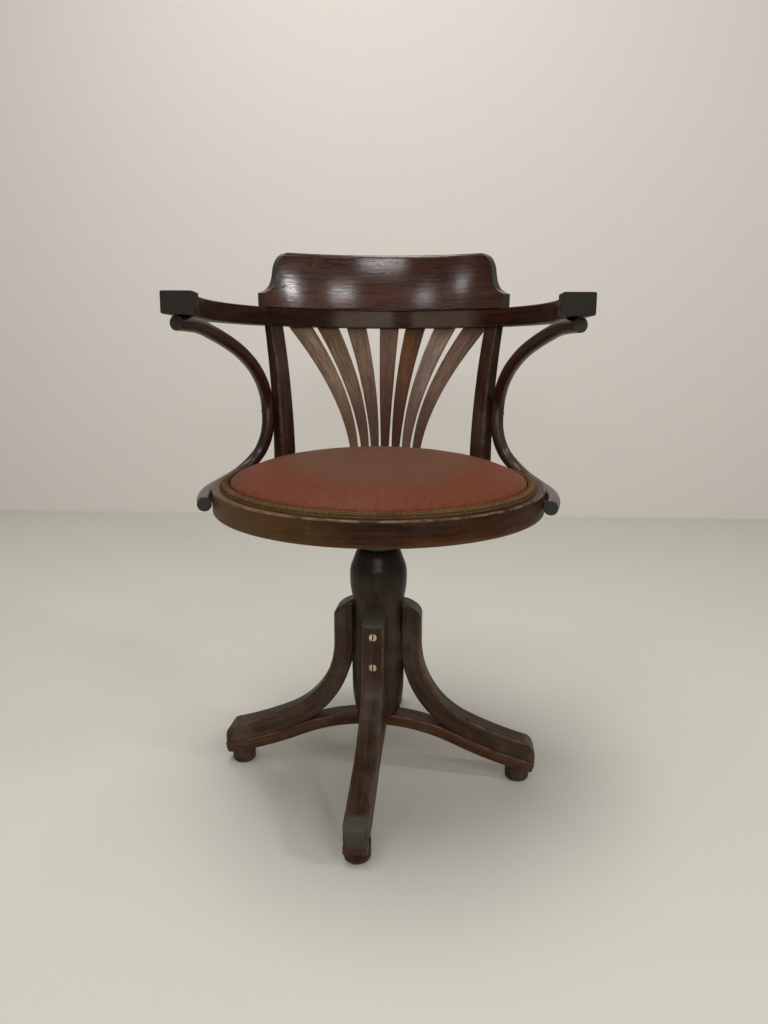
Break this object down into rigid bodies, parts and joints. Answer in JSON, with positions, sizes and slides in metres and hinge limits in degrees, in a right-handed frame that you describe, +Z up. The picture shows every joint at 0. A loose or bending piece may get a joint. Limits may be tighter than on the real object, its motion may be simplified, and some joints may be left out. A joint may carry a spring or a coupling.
{
  "type": "swivel armchair",
  "caption": "Bentwood desk armchair with a round padded seat, slatted back and low crest, turning and rising on a screw over a splayed wooden base.",
  "frame": {"origin": "the point on the floor under the swivel axis", "axes": "+Z up along the swivel axis, the sitter faces -Y, +X is to the right in the picture"},
  "size_m": [0.516, 0.4895, 0.7555],
  "materials": {
    "base_wood": "dark stained bentwood, satin, worn",
    "strip_wood": "dark reddish stained bentwood, satin",
    "seat_wood": "dark stained bentwood, satin, worn",
    "splat_wood": "stained wood, dull and dusty",
    "crest_wood": "dark stained moulded board, polished by use",
    "plain_wood": "unfinished wood",
    "cover": "leathercloth, worn, red brown with a paler middle",
    "braid": "woven braid, faded",
    "stuffing": "fibre stuffing",
    "iron": "black iron",
    "steel": "dull steel",
    "washer": "felt",
    "brass": "brass, slotted heads"
  },
  "bodies": {
    "base": {"column": "base_wood", "spindle_nut": "iron", "nut_screws": "steel", "leg_front": "base_wood", "leg_right": "base_wood", "leg_back": "base_wood", "leg_left": "base_wood", "strip_front_back": "strip_wood", "strip_left_right": "strip_wood", "hub_bolt": "iron", "foot_front": "base_wood", "foot_right": "base_wood", "foot_back": "base_wood", "foot_left": "base_wood", "leg_screws": "brass", "toe_screws": "steel"},
    "washer": {"slip_washer": "washer"},
    "seat": {"spindle": "steel", "spider_plate": "iron", "spider_screws": "steel", "batten_across": "plain_wood", "batten_front_back": "plain_wood", "batten_screws": "steel", "seat_ring": "seat_wood", "seat_board": "plain_wood", "padding": "stuffing", "seat_cover": "cover", "edge_trim": "braid", "post_left": "seat_wood", "post_right": "seat_wood", "arm_bow": "seat_wood", "crest": "crest_wood", "crest_dowels": "plain_wood", "brace_left": "seat_wood", "brace_right": "seat_wood", "brace_screws": "steel", "splat_1": "splat_wood", "splat_2": "splat_wood", "splat_3": "splat_wood", "splat_4": "splat_wood", "splat_5": "splat_wood", "splat_6": "splat_wood", "splat_7": "splat_wood"}
  },
  "joints": [
    {"name": "seat_turn", "type": "hinge", "parent": "base", "child": "washer", "pos_m": [0, 0, 0.35], "axis": [0, 0, 1], "range_deg": [-360, 3960]},
    {"name": "seat_lift", "type": "slide", "parent": "washer", "child": "seat", "axis": [0, 0, 1], "range_m": [-0.0081, 0.0881]}
  ],
  "couplings": [
    {"joint": "seat_lift", "follows": "seat_turn", "m_per_rad": 0.0012732}
  ]
}
